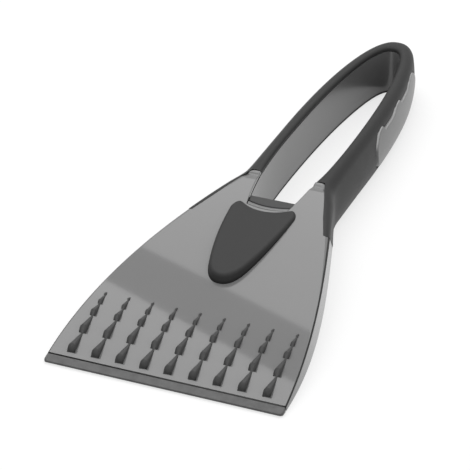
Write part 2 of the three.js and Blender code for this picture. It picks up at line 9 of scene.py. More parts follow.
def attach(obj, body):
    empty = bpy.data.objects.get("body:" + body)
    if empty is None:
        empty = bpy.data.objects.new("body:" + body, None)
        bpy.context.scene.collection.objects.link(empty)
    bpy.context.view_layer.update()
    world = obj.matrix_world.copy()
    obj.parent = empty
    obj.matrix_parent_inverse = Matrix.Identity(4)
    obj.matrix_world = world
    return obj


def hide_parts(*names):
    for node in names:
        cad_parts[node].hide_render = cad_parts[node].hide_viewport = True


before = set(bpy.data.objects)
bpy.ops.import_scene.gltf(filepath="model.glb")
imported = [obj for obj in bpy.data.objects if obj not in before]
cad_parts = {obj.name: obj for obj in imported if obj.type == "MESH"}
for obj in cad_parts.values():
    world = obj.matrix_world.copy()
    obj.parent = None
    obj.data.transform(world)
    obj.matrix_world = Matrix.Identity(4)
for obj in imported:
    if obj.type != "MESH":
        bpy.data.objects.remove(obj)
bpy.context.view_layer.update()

# Everything is laid out in millimetres from the scraping edge (y = 0), and place() moves it into the frame.
MM = 0.001
WELD = 1e-6  # points closer than this, in metres, become one
CREASE = 38.0  # edges sharper than this, in degrees, stay sharp
QUARTER = 0.5523  # handle of the cubic curve that stands for a quarter circle

# Overall sizes, as in the frame
LENGTH = 274.0
BLADE_WIDTH = 97.6
HANDLE_HEIGHT = 24.0
HANDLE_WIDTH = 41.2
FIT = 0.3  # clearance between pieces

# Blade strip
BLADE_EDGE = 0.85
BLADE_DEPTH = 3.45
BLADE_CORNER = 1.3
LAP_DEPTH = 6.0
LAP_SETBACK = 4.3
LAP_THICKNESS = 0.9
LAP_ROOT = 0.5  # how far inside the strip the lap starts
SEAM_WIDTH = 0.75  # the seam behind the strip shows as a fine dark line

# Shell
ARCH_RADIUS = 650.0
SHELL_FRONT = BLADE_DEPTH + SEAM_WIDTH
PRONG_END = 131.0
PLATE_BACK = 107.05
PLATE_BOW = 1.55  # how far the plate's back edge bows towards the blade between the prongs
BOW_RUN = 6.0  # length over which the rows before it bow with it
SIDE_RUN = 42.0
FLARE = math.tan(math.radians(17.4))
FLARE_RUN = 53.3
WAIST = 139.0
EDGE_ROUND = 0.55
PRONG_ROUND = 6.2
EDGE_GROWTH = 3.0  # power by which the edge grows rounder towards the handle
FRONT_FLAT = 0.17  # least height of the upright wall under the rounded edge
LOOP_EDGE_ROUND = 0.35
END_ROUND = 0.7  # rounding of the prong ends
END_CLEAR = 0.5  # which stops this far over the foot of the wall
PRONG_DIP = 0.7
DIP_LENGTH = 5.5
DIP_SETBACK = 1.5
DIP_STEEP = 0.25  # share of the cross groove that falls steeply
FINE_RUN = 3.0  # rows lie closer over this length before the plate's back edge
TIP_RUN = 6.0  # and over this length before the prong ends

# Underside of the shell
WALL = 2.6
ROOF = 3.0
PRONG_ROOF = 1.5
PRONG_RIM = 2.0  # width of the prongs' rim behind the foot of the cheeks
HOLLOW_START = 22.0
HOLLOW_END = PLATE_BACK - WALL
SAME_ROW = 1e-3  # rows closer than this count as one
RIB_PITCH = 24.0
RIB_WIDTH = 1.6
RIB_LIFT = 1.0
RIB_REACH = 0.4  # how far the ribs run into the walls
RIB_SINK = 0.3  # and into the roof

# Outside of the shell under the cheeks, where it draws in
DRAW_FRONT = 0.6
DRAW_BACK = 5.0
DRAW_LEAD = 10.0  # how far before the grip's own swelling it deepens
DRAW_SETBACK = 0.2
DRAW_RUN = 3.0
DRAW_ANGLE = 75.0  # slope of the rounded edge, in degrees from upright, where it starts
DRAW_FADE = 10.0

# Skin of the shell: columns over the flat, steps over the edge in degrees from its top, steps down the wall
FLAT_COLUMNS = 26
FLAT_CROWDING = 1.8  # power by which the columns crowd towards the loop
FLAT_MARGIN = 0.1  # the last column but one lies this far inside the flat's end
EDGE_STEPS = np.array([0, 8, 16, 24, 32, 40, 46, 50, 54, 58, 63, 68, 72, 76, 80, 85, 90], float)
UNDER_EDGE = 0.02  # share of the wall's height at its first step, close under the edge
WALL_STEPS = np.append([UNDER_EDGE], np.linspace(0, 1, 7)[1:])
WALL_COLUMN = FLAT_COLUMNS + len(EDGE_STEPS) - 1
SKIN_COLUMNS = WALL_COLUMN + len(WALL_STEPS)

# Painted shade: a fine dark line along the shell's rounded edge, and a darker upright wall, as shares of the
# painted grey
LINE_WIDTH = 0.85
LINE_GROWTH = 0.5  # the line grows wider by this share of the rounding
LINE_FADE = 0.12
PAINTED_WALL_SHADE = 0.2

# Ice-breaker rows
ROWS = 9
ROW_MARGIN = 8.8
ROW_SETBACK = 2.25
TOOTH_LENGTHS = (10.4, 9.5, 6.5, 4.9, 1.7)
TOOTH_WIDTH = 3.2
TOOTH_HEIGHT = 3.0
TOOTH_ROUND = 3.0  # power of the superellipse that a tooth has as its section
TOOTH_LEAN = 0.5  # how far a tooth's front leans back for its height
TOOTH_FALL = 1.5  # power by which the teeth get lower along the row
TOOTH_WAIST = 1.3  # power by which a tooth narrows to its neck
NECK_WIDTH = 0.7
NECK_HEIGHT = 0.15
TOOTH_SEAT = 0.9
TOOTH_CREASE = 110.0

# Thumb pad
PAD_FRONT = 56.8
PAD_BACK = 102.9
PAD_WIDTH = 27.8
NOSE_WIDTH = 17.2
NOSE_LENGTH = 11.7
FLANK_SPREAD = 0.26  # how the flank widens behind the nose, for its length
HORN_SPREAD = 0.08  # and before the back corner
PAD_HORN = 4.2
HORN_LENGTH = 5.3
HORN_WIDTH = 2.7
PAD_HOLLOW = 6.8  # handle of the curve along its hollowed back edge
PAD_FRONT_HEIGHT = 3.8
PAD_BACK_HEIGHT = 1.4
PAD_ROUND = 1.5
PAD_TUCK = 0.8
PAD_SEAT = 0.7
PAD_FLARE = 0.22  # how far the skirt spreads at its foot for its height
FLARE_POWER = 1.5
PAD_FOOT_SHADOW = (1.0, 1.0, 0.85, 0.6, 0.35, 0.15)  # painted shadow: how dark the pad is painted at each step up its skirt
SPINE_FRONT = 9.0  # the middle line of the top ends this far inside the pad
SPINE_BACK = 6.0

# Loop handle
LOOP_CENTRE = 165.0
LOOP_GAP = 27.2
GAP_FRONT = 113.0
LOOP_FRONT = 114.4
LOOP_FRONT_WIDTH = 19.8
LOOP_CORNER = 1.6
SHARP_CORNER = 1e-3  # least rounding of a corner in plan
LOOP_END_WALL = 11.5
INNER_POWER = 2.2  # powers of the superellipses at the back of the gap
OUTER_POWER = 2.3  # and of the handle
TAIL_RUN = 45.0
TAIL_LIFT = 1.6

# Core and bridge
CORE_WALL = 2.0
CORE_DROP = 2.5
FOOT_SHADOW_HEIGHT = 0.95  # height of the painted shadow along the foot of the core's inner wall
FOOT_SHADOW_FADE = 0.15
PRONG_SEAM = 0.9  # seam between the prongs and the core, whose top is painted dark in it as shade
CORE_LIP_SEAM = 0.35
CORE_LIP_FRONT_ROUND = 0.6
CORE_LIP_BACK_ROUND = 0.7
CORE_LIP_SHADE_LINE = 0.1  # painted shade line along the front of the lip, at the seam
CORE_LIP_SINK = 0.5
BRIDGE_LIP = 0.6
BRIDGE_BOW = 1.9  # how far the bridge's front edge bows towards the blade
BRIDGE_THICKNESS = 1.6
BRIDGE_SINK = 0.2
BRIDGE_ROUND = 0.5
BRIDGE_CLEAR = 0.05

# Grip
BULGE_HEIGHT = 11.0
BASE_TUCK = 2.7
SHOULDER_TUCK = 1.1
SHOULDER_DROP = 4.0
CROWN_SHARE = 0.25
INNER_DROP = 1.4
SWELL_RUN = 22.0
SWELL_LEAD = 3.0
PLATE_REACH = 20.0  # the arch is followed this far past the prong ends
CHEEK_TOP = 96.4
CHEEK_KNEE = 20.3
CHEEK_FOOT = 122.7
CHEEK_LIP_FRONT = 0.6
CHEEK_LIP_BACK = 4.3
CHEEK_BLEND = 1.0
CHEEK_PROUD = 0.12  # the cheeks stand this far out of the shell
CHEEK_SUNK = 0.8  # and their front edge goes this far into it
FACE = 64  # points of a section up the grip's face
RIM = 22  # over its rim
TOP = 12  # and from the crown to the loop

# Finger panels
PANEL_SETBACK = 6.3
PANEL_PITCH = 26.6
SCOOPS = 2
FIRST_POINT = 10.4
PANEL_TAIL = 20.7
PANEL_LOW = 1.6
PANEL_MIDDLE = 12.5
PANEL_HIGH = 18.2
SCALLOP = 2.64
POINT_FALL = 0.12  # share of the pitch over which the edge falls behind a point
SCOOP_RISE = 0.5  # share where it starts to rise again
RISE_RUN = 0.42
TIP_UPPER_POWER = 2.4
TIP_LOWER_POWER = 1.6
TIP_HALF = 0.05  # half-height of a panel at its tips
PANEL_CORNER = 5.0
PANEL_DEPTH = 1.0
PANEL_PROUD = 0.6
PANEL_ROUND = 0.7
PANEL_CREASE = 60.0
HIGHLIGHT_RUN = 4.0  # the painted highlight along the border fades in over this height
GROOVE_WIDTH = 0.8
GROOVE_DEPTH = 1.2
RECESS_LEAD = 1.5  # sections of the arm lie closer from this far before a panel
RECESS_STOP = 0.2  # to this far before its end

# Finishes
SLOW_DETAIL = 4.0
FINE_DETAIL = 2.0
PAINTED_LIGHT_ROUGHNESS = 0.8  # how dull the painted grey is, where shade or a highlight is painted

# Floor in metres, its grey and its own light to the camera and in reflections
FLOOR_SIZE = 8.0
FLOOR_DROP = 0.0006
FLOOR_GREY = 0.3
FLOOR_LIFT = 0.69

# Softboxes, which hang level over the scraper with their long edges along SOFTBOX_RUN. along is measured that
# way and past across it, from the scraping edge.
SOFTBOX_RUN = math.radians(-39.2)
SOFTBOX_LIFT = 1000.0

# Surround: strength at and below the horizon, strength overhead, and the heights between which it changes
SURROUND_LOW = 0.4
SURROUND_HIGH = 0.52
SURROUND_START = -0.05
SURROUND_END = 0.4

# Camera, fitted to the photograph: place from the scraping edge, angles in degrees, lens in millimetres
EYE = (312.87, -689.33, 506.51)
EYE_AZIMUTH = 22.309
EYE_ELEVATION = 30.19
LENS = 186.34
SENSOR = 36.0
NEAREST = 0.01  # in metres
FARTHEST = 20.0  # in metres


# Curves

def smooth(t):
    """Rise from 0 to 1 with level ends: 3t^2 - 2t^3, with t held between 0 and 1."""
    t = np.clip(t, 0, 1)
    return t * t * (3 - 2 * t)


def mix(a, b, t):
    """Straight blend from a to b."""
    return a + (b - a) * t


def spread(start, end, count):
    """Stations from start to end, closer together towards both ends by a cosine."""
    t = np.linspace(0, math.pi, count)
    return mix(start, end, (1 - np.cos(t)) / 2)


def toward(start, end, count):
    """Stations from start to end, closer together towards the end by a square."""
    t = np.linspace(0, 1, count)
    return mix(start, end, 1 - (1 - t) ** 2)


def cubic(t, a, b, c, d):
    """Cubic curve from a to d with the handles b and c."""
    return a * (1 - t) ** 3 + 3 * b * t * (1 - t) ** 2 + 3 * c * t ** 2 * (1 - t) + d * t ** 3


def bezier(points, count):
    """Cubic curve in plan from four points, at evenly spaced parameters."""
    t = np.linspace(0, 1, count)[:, None]
    return cubic(t, *np.array(points, float))


def round_drop(distance, radius):
    """How far a rounded edge lies below its face at a distance from the edge: a quarter circle."""
    away = np.clip(1 - np.asarray(distance) / radius, 0, 1)
    return radius * (1 - np.sqrt(1 - away ** 2))


RISE = HANDLE_HEIGHT - BLADE_EDGE
ARCH_TILT = math.atan2(RISE, PRONG_END) + math.asin(math.hypot(RISE, PRONG_END) / (2 * ARCH_RADIUS))


def arch(y):
    """Height of the plate: a circle of ARCH_RADIUS through the scraping edge and the prong ends."""
    sine = math.sin(ARCH_TILT) - np.asarray(y, float) / ARCH_RADIUS
    return BLADE_EDGE + ARCH_RADIUS * (np.sqrt(1 - sine ** 2) - math.cos(ARCH_TILT))


WAIST_HALF = HANDLE_WIDTH / 2 - BASE_TUCK
SIDE_CURVE = bezier([
    (BLADE_WIDTH / 2, 0),
    (BLADE_WIDTH / 2, SIDE_RUN),
    (WAIST_HALF + FLARE_RUN * FLARE, WAIST - FLARE_RUN),
    (WAIST_HALF, WAIST),
], 2000)


def side(y):
    """Half-width of the shell: one cubic curve from the blade's corner to the waist, then straight on."""
    inside = np.interp(y, SIDE_CURVE[:, 1], SIDE_CURVE[:, 0])
    return inside - np.maximum(np.asarray(y) - WAIST, 0) * FLARE


def edge_round(y):
    """Radius of the shell's top edge: it grows by a power towards the handle; the thin front limits it."""
    radius = mix(EDGE_ROUND, PRONG_ROUND, np.clip(np.asarray(y) / PRONG_END, 0, 1) ** EDGE_GROWTH)
    return np.minimum(radius, arch(np.clip(y, 0, PRONG_END)) - FRONT_FLAT)


def plate_back(across):
    """Back edge of the plate over the gap's width from -1 to 1: bowed towards the blade by a square."""
    return PLATE_BACK - PLATE_BOW * (1 - across ** 2)


def cheek_lip(y):
    """Width of the cheeks' lip on the rounded top edge, growing evenly towards the handle."""
    width = mix(CHEEK_LIP_FRONT, CHEEK_LIP_BACK, np.clip(np.asarray(y) / PRONG_END, 0, 1))
    return np.minimum(width, edge_round(y))


def cheek_front(z):
    """Where the cheeks' front edge is at a height: upright above the knee, slanting back below it."""
    return CHEEK_TOP + (CHEEK_FOOT - CHEEK_TOP) * np.clip(1 - np.asarray(z) / CHEEK_KNEE, 0, 1)


def swell(y):
    """How much of the full arm form the grip has: none on the cheeks, all behind the waist."""
    return smooth((y - (WAIST + SWELL_LEAD - SWELL_RUN)) / SWELL_RUN)


HALF_GAP = LOOP_GAP / 2
FRONT_REACH = (LOOP_CENTRE - GAP_FRONT) / math.sqrt(1 - (LOOP_FRONT_WIDTH / LOOP_GAP) ** 2)


def gap_half(y, offset=0.0):
    """Half-width of the finger gap in front of its widest place: an ellipse, grown by offset."""
    reach = (LOOP_CENTRE - np.asarray(y, float)) / (FRONT_REACH + offset)
    return (HALF_GAP + offset) * np.sqrt(np.maximum(1 - reach ** 2, 0))


def round_end(angle, half_width, end_y, power):
    """Rounded back end of the loop: a superellipse quarter on each side, angle 0 at the right."""
    c, s = np.cos(angle), np.sin(angle)
    x = np.sign(c) * half_width * np.abs(c) ** (2 / power)
    return x, LOOP_CENTRE + (end_y - LOOP_CENTRE) * np.maximum(s, 0) ** (2 / power)


def inner_end(angle, offset=0.0):
    """Back end of the finger gap, grown by offset."""
    return round_end(angle, HALF_GAP + offset, LENGTH - LOOP_END_WALL + offset, INNER_POWER)


def outer_end(angle):
    """Back end of the handle's outline."""
    return round_end(angle, HANDLE_WIDTH / 2, LENGTH, OUTER_POWER)


def tail_rise(y):
    """Height of the handle's underside, rising with the square of the way along the tail."""
    return TAIL_LIFT * np.clip((np.asarray(y) - LENGTH + TAIL_RUN) / TAIL_RUN, 0, 1) ** 2


# Meshes

def stack(x, y, z):
    """Point grid from three arrays that broadcast together."""
    return np.stack(np.broadcast_arrays(x, y, z), -1).astype(float)


def with_painted_light(grid, painted_light):
    """The grid with painted light as each point's fourth value: its share of the material's painted grey,
    which stands for painted shade or a painted highlight.
    """
    painted_light = np.broadcast_to(painted_light, grid.shape[:2])
    return np.concatenate([grid, painted_light[..., None]], -1)


def mirrored(grid):
    """The same grid on the other side of the middle plane."""
    flip = np.ones(grid.shape[-1])
    flip[0] = -1.0
    return grid * flip


def cap(ring):
    """Closes a ring by a fan to its middle, as a grid of two rows."""
    middle = np.broadcast_to(ring.mean(0), ring.shape)
    return np.stack([ring, middle])


def skirt(top, bottom):
    """The four sides between two grids of the same shape."""
    return [np.stack([top[0], bottom[0]]), np.stack([top[-1], bottom[-1]]),
            np.stack([top[:, 0], bottom[:, 0]]), np.stack([top[:, -1], bottom[:, -1]])]


def place(points):
    """Millimetres from the scraping edge to metres in the frame."""
    return (points - np.array([0.0, LENGTH / 2, 0.0])) * MM


def put(name, data):
    """Puts a mesh, a lamp or a camera into the scene as an object."""
    thing = bpy.data.objects.new(name, data)
    bpy.context.scene.collection.objects.link(thing)
    return thing


def piece(name, grids, material, nodes, crease=CREASE):
    """Joins point grids into one mesh of quads, welds it along shared borders, closes flat holes, turns its
    faces outwards, and lets it stand for its nodes. Edges sharper than the crease angle stay sharp. Grids
    without painted light get none."""
    points, quads, start = [], [], 0
    for grid in grids:
        rows, columns, values = grid.shape
        index = np.arange(rows * columns).reshape(rows, columns) + start
        corners = [index[:-1, :-1], index[1:, :-1], index[1:, 1:], index[:-1, 1:]]
        quads.append(np.stack(corners, -1).reshape(-1, 4))
        points.append(np.pad(grid, ((0, 0), (0, 0), (0, 4 - values))).reshape(-1, 4))
        start += rows * columns
    points = np.concatenate(points)
    quads = np.concatenate(quads)
    mesh = bpy.data.meshes.new(name)
    mesh.from_pydata(place(points[:, :3]), [], quads)
    # Painted light rides on each corner as its share of the painted grey
    painted_light = mesh.attributes.new("painted_light", "FLOAT", "CORNER")
    painted_light.data.foreach_set("value", points[quads.ravel(), 3].astype(np.float32))
    shaped = bmesh.new()
    shaped.from_mesh(mesh)
    bmesh.ops.remove_doubles(shaped, verts=shaped.verts, dist=WELD)
    bmesh.ops.dissolve_degenerate(shaped, edges=shaped.edges, dist=WELD)
    bmesh.ops.holes_fill(shaped, edges=[e for e in shaped.edges if e.is_boundary], sides=0)
    bmesh.ops.recalc_face_normals(shaped, faces=shaped.faces)
    shaped.to_mesh(mesh)
    shaped.free()
    mesh.shade_smooth()
    mesh.set_sharp_from_angle(angle=math.radians(crease))
    mesh.materials.append(material)
    thing = put(name, mesh)
    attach(thing, "root")
    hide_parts(*nodes)
    return thing


# Materials

def grey_colour(value):
    """A neutral grey, opaque."""
    return (value, value, value, 1.0)


def add_node(tree, kind, output, inputs=None, **settings):
    """Adds a shader node and gives back one of its outputs. Each input is a value, or another node's output
    that is linked into it."""
    made = tree.nodes.new(kind)
    for name, value in settings.items():
        setattr(made, name, value)
    for socket, value in (inputs or {}).items():
        if isinstance(value, bpy.types.NodeSocket):
            tree.links.new(value, made.inputs[socket])
        else:
            made.inputs[socket].default_value = value
    return made.outputs[output]


def finish(name, grey, roughness, bump, grain, mottle, shine=0.5, painted_grey=None, ior=1.5):
    """Moulded plastic or rubber in a neutral grey: a slow mottle of the colour and the roughness, and a fine
    grain as bump. roughness gives the least and the most, bump the grain's strength and its depth in metres,
    grain its patches per metre, and mottle the slow patches per metre and their share of the colour. Where
    the piece has painted light, the colour goes over to painted_grey, which is dull: painted shade, or on the
    panels a painted highlight."""
    material = bpy.data.materials.new(name)
    material.use_nodes = True
    tree = material.node_tree
    shader = tree.nodes["Principled BSDF"]
    shader.inputs["IOR"].default_value = ior
    shader.inputs["Specular IOR Level"].default_value = shine
    where = add_node(tree, "ShaderNodeTexCoord", "Object")

    def noise(scale, detail):
        inputs = {"Vector": where, "Scale": scale, "Detail": detail}
        return add_node(tree, "ShaderNodeTexNoise", "Fac", inputs)

    def blend(factor, a, b, kind):
        return add_node(tree, "ShaderNodeMix", "Result", {"Factor": factor, "A": a, "B": b}, data_type=kind)

    patches, share = mottle
    slow = noise(patches, SLOW_DETAIL)
    colour = blend(slow, grey_colour(grey * (1 - share)), grey_colour(grey * (1 + share)), "RGBA")
    limits = {"Value": slow, "To Min": roughness[0], "To Max": roughness[1]}
    gloss = add_node(tree, "ShaderNodeMapRange", "Result", limits)
    # Painted shade or highlight: the colour goes over to the painted grey, dulled, by each corner's share
    if painted_grey:
        painted_light = add_node(tree, "ShaderNodeAttribute", "Fac", attribute_name="painted_light")
        colour = blend(painted_light, colour, grey_colour(painted_grey), "RGBA")
        gloss = blend(painted_light, gloss, PAINTED_LIGHT_ROUGHNESS, "FLOAT")
    relief = {"Height": noise(grain, FINE_DETAIL), "Strength": bump[0], "Distance": bump[1]}
    normal = add_node(tree, "ShaderNodeBump", "Normal", relief)
    for socket, source in (("Base Color", colour), ("Roughness", gloss), ("Normal", normal)):
        tree.links.new(source, shader.inputs[socket])
    return material


# painted_grey on the hard plastic is painted shade for the edge line, the walls and the seams
GLOSS_GREY = finish("gloss_grey", grey=0.187, roughness=(0.04, 0.06), bump=(0.01, 0.00001), grain=900.0,
                    mottle=(60.0, 0.02), painted_grey=0.015, ior=1.6)
BLADE_GREY = finish("blade_grey", grey=0.081, roughness=(0.3, 0.42), bump=(0.15, 0.00005), grain=1400.0,
                    mottle=(300.0, 0.6))
TOOTH_DARK = finish("tooth_dark", grey=0.078, roughness=(0.45, 0.55), bump=(0.1, 0.00004), grain=1600.0,
                    mottle=(300.0, 0.06), shine=0.15)
# painted_grey on the soft rubber is the painted shadow at the pad's foot
SOFT_DARK = finish("soft_dark", grey=0.039, roughness=(0.46, 0.54), bump=(0.2, 0.00005), grain=2600.0,
                   mottle=(150.0, 0.05), shine=0.2, painted_grey=0.012)
BRIDGE_DARK = finish("bridge_dark", grey=0.06, roughness=(0.45, 0.55), bump=(0.2, 0.00005), grain=2600.0,
                     mottle=(150.0, 0.05), shine=0.3)
# painted_grey on the panels is a paler painted highlight along their border
PANEL_GREY = finish("panel_grey", grey=0.158, roughness=(0.3, 0.36), bump=(0.15, 0.00005), grain=1800.0,
                    mottle=(200.0, 0.04), painted_grey=0.55)


# Shell

PLATE_GAP = float(gap_half(PLATE_BACK))


def dip(y):
    """Depth of the cross groove before each prong's end: a steep fall from the end lip, then a slow rise."""
    t = (PRONG_END - DIP_SETBACK - np.asarray(y)) / DIP_LENGTH
    return PRONG_DIP * smooth(t / DIP_STEEP) * (1 - smooth((t - DIP_STEEP) / (1 - DIP_STEEP)))


def painted_edge_line(y):
    """Strength of the painted shade line over the outside of the rounded edge: full up to its width, then
    fading.
    """
    radius = edge_round(y)
    away = radius * np.radians(90 - EDGE_STEPS[None, 1:])
    width = LINE_WIDTH + LINE_GROWTH * (radius - EDGE_ROUND)
    return 1 - smooth((away - width) / LINE_FADE)


def drawn_in(y, z):
    """How far the shell's outside draws in under the cheeks: a soft step behind their front edge, deeper
    where they swell into the arms."""
    depth = mix(DRAW_FRONT, DRAW_BACK, swell(y + DRAW_LEAD))
    return depth * smooth((y - cheek_front(z) - DRAW_SETBACK) / DRAW_RUN)


def wall_foot(y):
    """Foot of the outer wall: on the ground, and behind the cheeks' foot at the underside of the prong."""
    return np.where(y > CHEEK_FOOT, arch(y) - PRONG_ROOF, 0.0)


def inner_wall(y):
    """Half-width of the hollow under the shell."""
    return side(y) - cheek_lip(y) - FIT - WALL


def shell_skin(y, inner):
    """Upper skin of the right half over rows y: flat from the inner line to the edge, a quarter circle of
    edge_round over it, then the upright wall down to its foot. The flat is rounded off along the loop and at
    the prong's end, and the outside draws in under the cheeks."""
    y, inner = y[:, None], inner[:, None]
    radius = edge_round(y)
    middle = side(y) - radius
    height = arch(y) - dip(y)
    across = np.append(np.linspace(0, 1, FLAT_COLUMNS - 1) ** FLAT_CROWDING, 1.0)
    margin = np.append(np.zeros(FLAT_COLUMNS - 2), [FLAT_MARGIN, 0.0])
    flat_x = mix(inner, middle, across) - margin
    past = np.hypot(np.maximum(flat_x - inner, 0), np.maximum(PLATE_BACK - y, 0))
    flat_z = height - round_drop(past, LOOP_EDGE_ROUND)
    angle = np.radians(90 - EDGE_STEPS)[None, 1:]
    drawn = drawn_in(y, height - radius * (1 - np.sin(angle)))
    drawn = drawn * smooth((math.radians(DRAW_ANGLE) - angle) / math.radians(DRAW_FADE))
    arc_x = middle + (radius - drawn) * np.cos(angle)
    arc_z = height - radius + (radius - drawn) * np.sin(angle)
    foot = wall_foot(y)
    wall_z = mix(arc_z[:, -1:], foot, WALL_STEPS)
    wall_x = side(y) - drawn_in(y, wall_z)
    x = np.concatenate([flat_x, arc_x, wall_x], 1)
    z = np.concatenate([flat_z, arc_z, wall_z], 1)
    z = z - round_drop(PRONG_END - y, END_ROUND) * (z > foot + END_CLEAR)
    return stack(x, y, z)


def plate_middle(plate):
    """Plate between the lines of the prongs: its rows bow more and more towards the bowed back edge, which is
    rounded off by a quarter circle."""
    across = np.linspace(0, 1, 14)[None, :]
    back = plate_back(across)
    straight = plate[:, None]
    y = straight - (PLATE_BACK - back) * smooth(1 - (PLATE_BACK - straight) / BOW_RUN)
    return stack(across * PLATE_GAP, y, arch(y) - round_drop(back - y, LOOP_EDGE_ROUND))


def shell_under(plate):
    """Underside of the right half: a rim on the ground, an upright wall and a roof as far as the middle
    plane, over the seat of the blade's lap, the solid front, the hollow and the solid back."""
    def rows_between(start, end):
        inside = plate[(plate > start + SAME_ROW) & (plate < end - SAME_ROW)]
        return np.concatenate([[start], inside, [end]])

    lap_half = BLADE_WIDTH / 2 - LAP_SETBACK + FIT
    lap_end = BLADE_DEPTH + LAP_DEPTH + FIT
    lap = rows_between(SHELL_FRONT, lap_end)
    front = rows_between(lap_end, HOLLOW_START)
    hollow = rows_between(HOLLOW_START, HOLLOW_END)
    back = rows_between(HOLLOW_END, PLATE_BACK)
    walls = [np.full(lap.size + front.size, lap_half), inner_wall(hollow), inner_wall(back)]
    lap_roof = np.full(lap.size, LAP_THICKNESS + FIT)
    roofs = [lap_roof, np.zeros(front.size), arch(hollow) - ROOF, np.zeros(back.size)]
    y = np.concatenate([lap, front, hollow, back])[:, None]
    wall = np.concatenate(walls)[:, None]
    roof = np.concatenate(roofs)[:, None]
    rim = stack(mix(side(y), wall, np.array([0.0, 1.0])), y, 0.0)
    lift = stack(wall, y, roof * np.linspace(0, 1, 4)[1:])
    under = stack(wall * np.linspace(1, 0, 12)[1:], y, roof)
    return np.concatenate([rim, lift, under], 1)


def prong_ring():
    """Sections of the right prong as closed rings: the upper skin, then the wall, the roof and the loop's
    side from below."""
    prong = np.concatenate([
        np.linspace(PLATE_BACK, PRONG_END - TIP_RUN, 30),
        np.linspace(PRONG_END - TIP_RUN, PRONG_END - END_ROUND, 22)[1:],
        toward(PRONG_END - END_ROUND, PRONG_END, 8)[1:],
    ])
    top = shell_skin(prong, gap_half(prong))
    y = prong[:, None]
    inner = gap_half(y)
    wall = np.where(y > CHEEK_FOOT, side(y) - PRONG_RIM, inner_wall(y))
    roof = arch(y) - PRONG_ROOF
    return np.concatenate([
        top,
        stack(wall, y, mix(wall_foot(y), roof, np.linspace(0, 1, 4))),
        stack(mix(wall, inner, np.linspace(0, 1, 6)[1:]), y, roof),
        stack(inner, y, mix(roof, top[:, :1, 2], np.linspace(0, 1, 5)[1:])),
    ], 1)


def rib_bar(low, high):
    """A rib under the plate: an upright bar over a plan rectangle, its top following the arch."""
    y = np.linspace(low[1], high[1], 24)[:, None]
    top = arch(y) - ROOF + RIB_SINK
    foot = np.full(y.shape, RIB_LIFT)
    x = np.array([[low[0], high[0], high[0], low[0], low[0]]])
    return stack(x, y, np.concatenate([foot, foot, top, top, foot], 1))


def shell_ribs():
    """Ribs of the hollow: bars across it at an even pitch, and three along it."""
    ribs = []
    half = RIB_WIDTH / 2
    count = math.ceil((HOLLOW_END - HOLLOW_START) / RIB_PITCH)
    for y in np.linspace(HOLLOW_START, HOLLOW_END, count + 1)[1:-1]:
        reach = float(inner_wall(y)) + RIB_REACH
        ribs.append(rib_bar((-reach, y - half), (reach, y + half)))
    for x in (-RIB_PITCH, 0.0, RIB_PITCH):
        ribs.append(rib_bar((x - half, HOLLOW_START - RIB_REACH), (x + half, HOLLOW_END + RIB_REACH)))
    return ribs


def make_shell():
    """The hard moulding: the plate's middle, upper skin and underside, the prongs and the ribs. A painted
    shade line runs along the skin's edge, and its walls are painted a shade darker."""
    plate = np.concatenate([
        np.linspace(SHELL_FRONT, HOLLOW_START, 14),
        np.linspace(HOLLOW_START, PLATE_BACK - FINE_RUN, 60)[1:],
        PLATE_BACK - toward(FINE_RUN, 0.0, 12)[1:],
    ])
    skin = shell_skin(plate, np.full(plate.shape, PLATE_GAP))
    # Painted shade: the dark line along the rounded edge and a darker upright wall
    skin_painted_shade = np.zeros(skin.shape[:2])
    skin_painted_shade[:, FLAT_COLUMNS:WALL_COLUMN] = painted_edge_line(plate[:, None])
    skin_painted_shade[:, WALL_COLUMN:] = PAINTED_WALL_SHADE
    ring = prong_ring()
    # The same painted wall shade on the prongs
    ring_painted_shade = np.zeros(ring.shape[:2])
    ring_painted_shade[:, WALL_COLUMN:SKIN_COLUMNS] = PAINTED_WALL_SHADE
    half = [plate_middle(plate), with_painted_light(skin, skin_painted_shade), shell_under(plate)]
    half += [with_painted_light(ring, ring_painted_shade), cap(ring[-1])]
    grids = half + [mirrored(grid) for grid in half] + shell_ribs()
    return piece("shell_moulding", grids, GLOSS_GREY, ["scraper_shell"])


# Blade strip

def make_blade():
    """Front strip with the scraping edge: the shell's section carried forward, its front corners rounded in
    plan by a quarter circle, and a flat lap that runs back under the shell."""
    corner = BLADE_CORNER * np.linspace(0, 1, 10) ** 2
    y = np.concatenate([corner, np.linspace(BLADE_CORNER, BLADE_DEPTH, 6)[1:]])[:, None]
    reach = np.maximum(BLADE_CORNER - y, 0)
    half = side(y) - (BLADE_CORNER - np.sqrt(BLADE_CORNER ** 2 - reach ** 2))
    radius = edge_round(y)
    angle = np.linspace(0, math.pi / 2, 9)
    arc_x = half - radius + radius * np.cos(angle)
    arc_z = arch(y) - radius + radius * np.sin(angle)
    bottom = stack(half * np.linspace(0, 1, 20), y, 0.0)
    top = stack((half - radius) * np.linspace(1, 0, 20)[1:], y, arch(y))
    ring = np.concatenate([bottom, stack(arc_x, y, arc_z), top], 1)
    lap_x = np.array([[-1, 1, 1, -1, -1]]) * (BLADE_WIDTH / 2 - LAP_SETBACK)
    lap_y = np.array([[BLADE_DEPTH - LAP_ROOT], [BLADE_DEPTH + LAP_DEPTH]])
    lap_z = np.array([[0, 0, 1, 1, 0]]) * LAP_THICKNESS
    grids = [ring, mirrored(ring), stack(lap_x, lap_y, lap_z)]
    return piece("blade", grids, BLADE_GREY, ["blade_strip"])


# Ice-breaker rows

